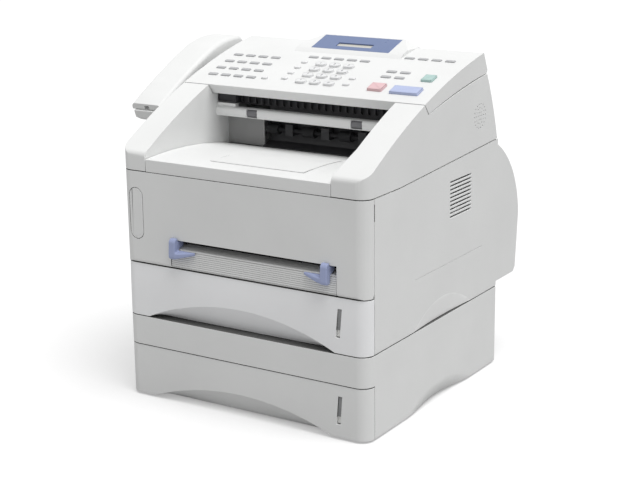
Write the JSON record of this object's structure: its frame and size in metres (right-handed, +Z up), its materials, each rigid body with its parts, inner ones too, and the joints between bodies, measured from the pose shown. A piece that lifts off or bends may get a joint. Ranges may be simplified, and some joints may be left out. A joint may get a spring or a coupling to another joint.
{
  "type": "laser fax machine with handset",
  "caption": "Desktop laser fax machine with a sloping control panel, side handset, open output bay, manual feed slot and a second paper cassette unit beneath.",
  "frame": {"origin": "on the table under the middle of the overall box", "axes": "+X to the machine's right as its user faces it, +Y to its back, +Z up"},
  "size_m": [0.4306, 0.4334, 0.4564],
  "materials": {
    "housing_plastic": "fine matte texture",
    "tray_plastic": "matte",
    "dark_plastic": "satin",
    "chassis_steel": "galvanised",
    "roller_rubber": "matte",
    "flag_white": "matte",
    "guide_blue": "satin",
    "bezel_blue": "gloss",
    "display_glass": "gloss",
    "circuit_board": "satin",
    "speaker_paper": "matte",
    "key_grey": "satin",
    "key_white": "satin",
    "key_pink": "satin",
    "key_blue": "satin",
    "key_green": "satin"
  },
  "bodies": {
    "machine": {"lower_housing": "housing_plastic", "rubber_feet": "roller_rubber", "main_frame": "chassis_steel", "left_side_cover": "housing_plastic", "right_side_cover": "housing_plastic", "laser_scanner": "dark_plastic", "drum_unit": "dark_plastic", "toner_cartridge": "dark_plastic", "fuser_unit": "dark_plastic", "drive_motor": "chassis_steel", "power_supply": "circuit_board", "main_board": "circuit_board", "top_housing": "housing_plastic", "output_tray": "housing_plastic", "paper_exit_guide": "dark_plastic", "document_exit_bar": "housing_plastic", "document_scanner": "dark_plastic", "speaker": "speaker_paper", "handset_cradle": "housing_plastic"},
    "lower_cassette": {"lower_cassette_front": "housing_plastic", "lower_cassette_tray": "tray_plastic"},
    "lower_lift": {"lower_lift_plate": "chassis_steel"},
    "lower_flag": {"lower_level_flag": "flag_white"},
    "upper_cassette": {"upper_cassette_front": "housing_plastic", "upper_cassette_tray": "tray_plastic"},
    "upper_lift": {"upper_lift_plate": "chassis_steel"},
    "upper_flag": {"upper_level_flag": "flag_white"},
    "lower_pickup": {"lower_pickup_roller": "roller_rubber"},
    "upper_pickup": {"upper_pickup_roller": "roller_rubber"},
    "front_door": {"front_cover": "housing_plastic", "blanking_plate": "housing_plastic", "manual_feed_tray": "housing_plastic"},
    "guide_left": {"manual_guide_left": "guide_blue"},
    "guide_right": {"manual_guide_right": "guide_blue"},
    "rear_door": {"rear_cover": "housing_plastic"},
    "tray_flap": {"output_tray_flap": "housing_plastic"},
    "paper_roller": {"paper_exit_roller": "roller_rubber"},
    "document_rollers": {"document_exit_rollers": "roller_rubber"},
    "panel": {"control_panel": "housing_plastic", "lcd_bezel": "bezel_blue", "lcd_module": "display_glass"},
    "receiver": {"handset": "housing_plastic"},
    "hook": {"hook_switch": "dark_plastic"},
    "dial_key_1_cap": {"dial_key_1": "key_white"},
    "dial_key_2_cap": {"dial_key_2": "key_white"},
    "dial_key_3_cap": {"dial_key_3": "key_white"},
    "dial_key_4_cap": {"dial_key_4": "key_white"},
    "dial_key_5_cap": {"dial_key_5": "key_white"},
    "dial_key_6_cap": {"dial_key_6": "key_white"},
    "dial_key_7_cap": {"dial_key_7": "key_white"},
    "dial_key_8_cap": {"dial_key_8": "key_white"},
    "dial_key_9_cap": {"dial_key_9": "key_white"},
    "dial_key_star_cap": {"dial_key_star": "key_white"},
    "dial_key_0_cap": {"dial_key_0": "key_white"},
    "dial_key_hash_cap": {"dial_key_hash": "key_white"},
    "stop_key_cap": {"stop_key": "key_pink"},
    "start_key_cap": {"start_key": "key_blue"},
    "copy_key_cap": {"copy_key": "key_green"},
    "one_touch_keys_cap": {"one_touch_keys": "key_grey"},
    "function_keys_cap": {"function_keys": "key_grey"}
  },
  "joints": [
    {"name": "lower_cassette_slide", "type": "slide", "parent": "machine", "child": "lower_cassette", "axis": [0, -1, 0], "range_m": [0, 0.25]},
    {"name": "lower_lift_hinge", "type": "hinge", "parent": "lower_cassette", "child": "lower_lift", "pos_m": [0.02925, -0.00555, 0.0111], "axis": [-1, 0, 0], "range_deg": [0, 15]},
    {"name": "lower_flag_slide", "type": "slide", "parent": "lower_cassette", "child": "lower_flag", "axis": [0, 0, 1], "range_m": [0, 0.025]},
    {"name": "upper_cassette_slide", "type": "slide", "parent": "machine", "child": "upper_cassette", "axis": [0, -1, 0], "range_m": [0, 0.25]},
    {"name": "upper_lift_hinge", "type": "hinge", "parent": "upper_cassette", "child": "upper_lift", "pos_m": [0.02925, -0.00555, 0.1218], "axis": [-1, 0, 0], "range_deg": [0, 15]},
    {"name": "upper_flag_slide", "type": "slide", "parent": "upper_cassette", "child": "upper_flag", "axis": [0, 0, 1], "range_m": [0, 0.025]},
    {"name": "lower_pickup_spin", "type": "hinge", "parent": "machine", "child": "lower_pickup", "pos_m": [0.04325, -0.13175, 0.0859], "axis": [1, 0, 0], "continuous": true},
    {"name": "upper_pickup_spin", "type": "hinge", "parent": "machine", "child": "upper_pickup", "pos_m": [0.04325, -0.13175, 0.1979], "axis": [1, 0, 0], "continuous": true},
    {"name": "front_cover_hinge", "type": "hinge", "parent": "machine", "child": "front_door", "pos_m": [0.02925, -0.20275, 0.1907], "axis": [1, 0, 0], "range_deg": [0, 50]},
    {"name": "guide_left_slide", "type": "slide", "parent": "front_door", "child": "guide_left", "axis": [1, 0, 0], "range_m": [0, 0.07]},
    {"name": "guide_right_slide", "type": "slide", "parent": "front_door", "child": "guide_right", "axis": [-1, 0, 0], "range_m": [0, 0.07]},
    {"name": "rear_cover_hinge", "type": "hinge", "parent": "machine", "child": "rear_door", "pos_m": [0.02925, 0.20025, 0.134], "axis": [-1, 0, 0], "range_deg": [0, 60]},
    {"name": "tray_flap_hinge", "type": "hinge", "parent": "machine", "child": "tray_flap", "pos_m": [0.04025, -0.17985, 0.32665], "axis": [1, 0, 0], "range_deg": [0, 95]},
    {"name": "paper_exit_spin", "type": "hinge", "parent": "machine", "child": "paper_roller", "pos_m": [0.04325, -0.01575, 0.34], "axis": [1, 0, 0], "continuous": true},
    {"name": "document_exit_spin", "type": "hinge", "parent": "machine", "child": "document_rollers", "pos_m": [0.02465, -0.04445, 0.3645], "axis": [1, 0, 0], "continuous": true},
    {"name": "control_panel_hinge", "type": "hinge", "parent": "machine", "child": "panel", "pos_m": [0.02925, 0.10525, 0.4224], "axis": [-1, 0, 0], "range_deg": [0, 50]},
    {"name": "handset_lift", "type": "slide", "parent": "machine", "child": "receiver", "axis": [0, -0.3502, 0.9367], "range_m": [0, 0.06]},
    {"name": "hook_switch_slide", "type": "slide", "parent": "machine", "child": "hook", "axis": [0, -0.3502, 0.9367], "range_m": [0, 0.004]},
    {"name": "dial_key_1_press", "type": "slide", "parent": "panel", "child": "dial_key_1_cap", "axis": [0, 0.263, -0.9648], "range_m": [0, 0.0012], "stiffness_N_per_m": 450},
    {"name": "dial_key_2_press", "type": "slide", "parent": "panel", "child": "dial_key_2_cap", "axis": [0, 0.263, -0.9648], "range_m": [0, 0.0012], "stiffness_N_per_m": 450},
    {"name": "dial_key_3_press", "type": "slide", "parent": "panel", "child": "dial_key_3_cap", "axis": [0, 0.263, -0.9648], "range_m": [0, 0.0012], "stiffness_N_per_m": 450},
    {"name": "dial_key_4_press", "type": "slide", "parent": "panel", "child": "dial_key_4_cap", "axis": [0, 0.2819, -0.9594], "range_m": [0, 0.0012], "stiffness_N_per_m": 450},
    {"name": "dial_key_5_press", "type": "slide", "parent": "panel", "child": "dial_key_5_cap", "axis": [0, 0.2819, -0.9594], "range_m": [0, 0.0012], "stiffness_N_per_m": 450},
    {"name": "dial_key_6_press", "type": "slide", "parent": "panel", "child": "dial_key_6_cap", "axis": [0, 0.2819, -0.9594], "range_m": [0, 0.0012], "stiffness_N_per_m": 450},
    {"name": "dial_key_7_press", "type": "slide", "parent": "panel", "child": "dial_key_7_cap", "axis": [0, 0.3008, -0.9537], "range_m": [0, 0.0012], "stiffness_N_per_m": 450},
    {"name": "dial_key_8_press", "type": "slide", "parent": "panel", "child": "dial_key_8_cap", "axis": [0, 0.3008, -0.9537], "range_m": [0, 0.0012], "stiffness_N_per_m": 450},
    {"name": "dial_key_9_press", "type": "slide", "parent": "panel", "child": "dial_key_9_cap", "axis": [0, 0.3008, -0.9537], "range_m": [0, 0.0012], "stiffness_N_per_m": 450},
    {"name": "dial_key_star_press", "type": "slide", "parent": "panel", "child": "dial_key_star_cap", "axis": [0, 0.3205, -0.9472], "range_m": [0, 0.0012], "stiffness_N_per_m": 450},
    {"name": "dial_key_0_press", "type": "slide", "parent": "panel", "child": "dial_key_0_cap", "axis": [0, 0.3205, -0.9472], "range_m": [0, 0.0012], "stiffness_N_per_m": 450},
    {"name": "dial_key_hash_press", "type": "slide", "parent": "panel", "child": "dial_key_hash_cap", "axis": [0, 0.3205, -0.9472], "range_m": [0, 0.0012], "stiffness_N_per_m": 450},
    {"name": "stop_key_press", "type": "slide", "parent": "panel", "child": "stop_key_cap", "axis": [0, 0.3183, -0.948], "range_m": [0, 0.0012], "stiffness_N_per_m": 600},
    {"name": "start_key_press", "type": "slide", "parent": "panel", "child": "start_key_cap", "axis": [0, 0.3208, -0.9472], "range_m": [0, 0.0012], "stiffness_N_per_m": 600},
    {"name": "copy_key_press", "type": "slide", "parent": "panel", "child": "copy_key_cap", "axis": [0, 0.2796, -0.9601], "range_m": [0, 0.0012], "stiffness_N_per_m": 600},
    {"name": "one_touch_keys_press", "type": "slide", "parent": "panel", "child": "one_touch_keys_cap", "axis": [0, 0.2864, -0.9581], "range_m": [0, 0.0012], "stiffness_N_per_m": 900},
    {"name": "function_keys_press", "type": "slide", "parent": "panel", "child": "function_keys_cap", "axis": [0, 0.2751, -0.9614], "range_m": [0, 0.0012], "stiffness_N_per_m": 900}
  ],
  "couplings": [
    {"joint": "lower_flag_slide", "follows": "lower_lift_hinge", "m_per_rad": 0.091673},
    {"joint": "upper_flag_slide", "follows": "upper_lift_hinge", "m_per_rad": 0.091673},
    {"joint": "guide_right_slide", "follows": "guide_left_slide", "ratio": 1},
    {"joint": "hook_switch_slide", "follows": "handset_lift", "ratio": 0.066667}
  ]
}
